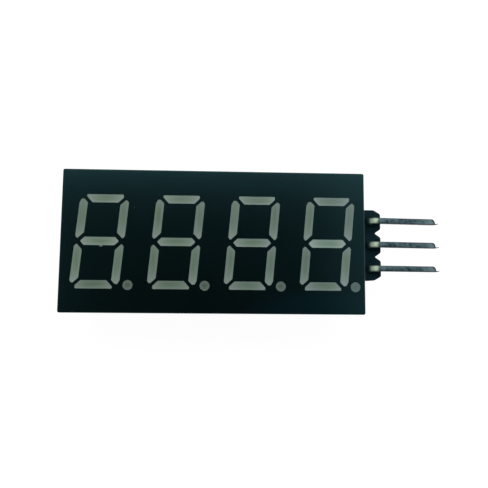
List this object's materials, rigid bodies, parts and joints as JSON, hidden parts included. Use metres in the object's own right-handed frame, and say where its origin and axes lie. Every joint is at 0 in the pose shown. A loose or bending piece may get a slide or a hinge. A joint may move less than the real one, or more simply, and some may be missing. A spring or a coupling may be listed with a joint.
{
  "type": "numeric display module",
  "caption": "Flat black numeric display with slanted seven segment digits and decimal points, on a driver board with a bent square pin connector.",
  "frame": {"origin": "centre of the display's front face", "axes": "+X towards the connector, +Y towards the top of the digits, +Z out of the front face"},
  "size_m": [0.0392, 0.0142, 0.0101],
  "materials": {
    "housing_plastic": "satin black moulding with a slight teal cast",
    "segment_resin": "milky grey-green diffusing resin, unlit",
    "point_resin": "milky grey-green diffusing resin, darker than the segments",
    "inner_laminate": "plain laminate, out of sight",
    "light_chip": "bare chip, out of sight",
    "back_resin": "cast resin, out of sight",
    "display_pin_metal": "tinned wire",
    "board_laminate": "green solder mask over glass laminate",
    "solder": "bright solder",
    "strip_plastic": "matt black moulding",
    "connector_pin_metal": "dulled tin plate, brighter at the bends",
    "mould_compound": "matt black mould compound",
    "lead_metal": "tin plated leads",
    "resistor_ceramic": "black glazed top, tinned ends",
    "capacitor_ceramic": "tan ceramic, tinned ends"
  },
  "bodies": {
    "root": {"reflector_housing": "housing_plastic", "digit_1_segment_a": "segment_resin", "digit_1_segment_b": "segment_resin", "digit_1_segment_c": "segment_resin", "digit_1_segment_d": "segment_resin", "digit_1_segment_e": "segment_resin", "digit_1_segment_f": "segment_resin", "digit_1_segment_g": "segment_resin", "digit_2_segment_a": "segment_resin", "digit_2_segment_b": "segment_resin", "digit_2_segment_c": "segment_resin", "digit_2_segment_d": "segment_resin", "digit_2_segment_e": "segment_resin", "digit_2_segment_f": "segment_resin", "digit_2_segment_g": "segment_resin", "digit_3_segment_a": "segment_resin", "digit_3_segment_b": "segment_resin", "digit_3_segment_c": "segment_resin", "digit_3_segment_d": "segment_resin", "digit_3_segment_e": "segment_resin", "digit_3_segment_f": "segment_resin", "digit_3_segment_g": "segment_resin", "digit_4_segment_a": "segment_resin", "digit_4_segment_b": "segment_resin", "digit_4_segment_c": "segment_resin", "digit_4_segment_d": "segment_resin", "digit_4_segment_e": "segment_resin", "digit_4_segment_f": "segment_resin", "digit_4_segment_g": "segment_resin", "digit_1_decimal_point": "point_resin", "digit_2_decimal_point": "point_resin", "digit_3_decimal_point": "point_resin", "digit_4_decimal_point": "point_resin", "inner_board": "inner_laminate", "light_chips": "light_chip", "back_filling": "back_resin", "display_pins_upper": "display_pin_metal", "display_pins_lower": "display_pin_metal", "driver_board": "board_laminate", "display_solder_upper": "solder", "display_solder_lower": "solder", "connector_strip": "strip_plastic", "connector_pin_1": "connector_pin_metal", "connector_pin_2": "connector_pin_metal", "connector_pin_3": "connector_pin_metal", "connector_solder": "solder", "controller_chip": "mould_compound", "controller_leads": "lead_metal", "digit_transistors": "mould_compound", "transistor_leads": "lead_metal", "segment_resistors": "resistor_ceramic", "capacitors": "capacitor_ceramic", "chip_solder": "solder"}
  },
  "joints": []
}
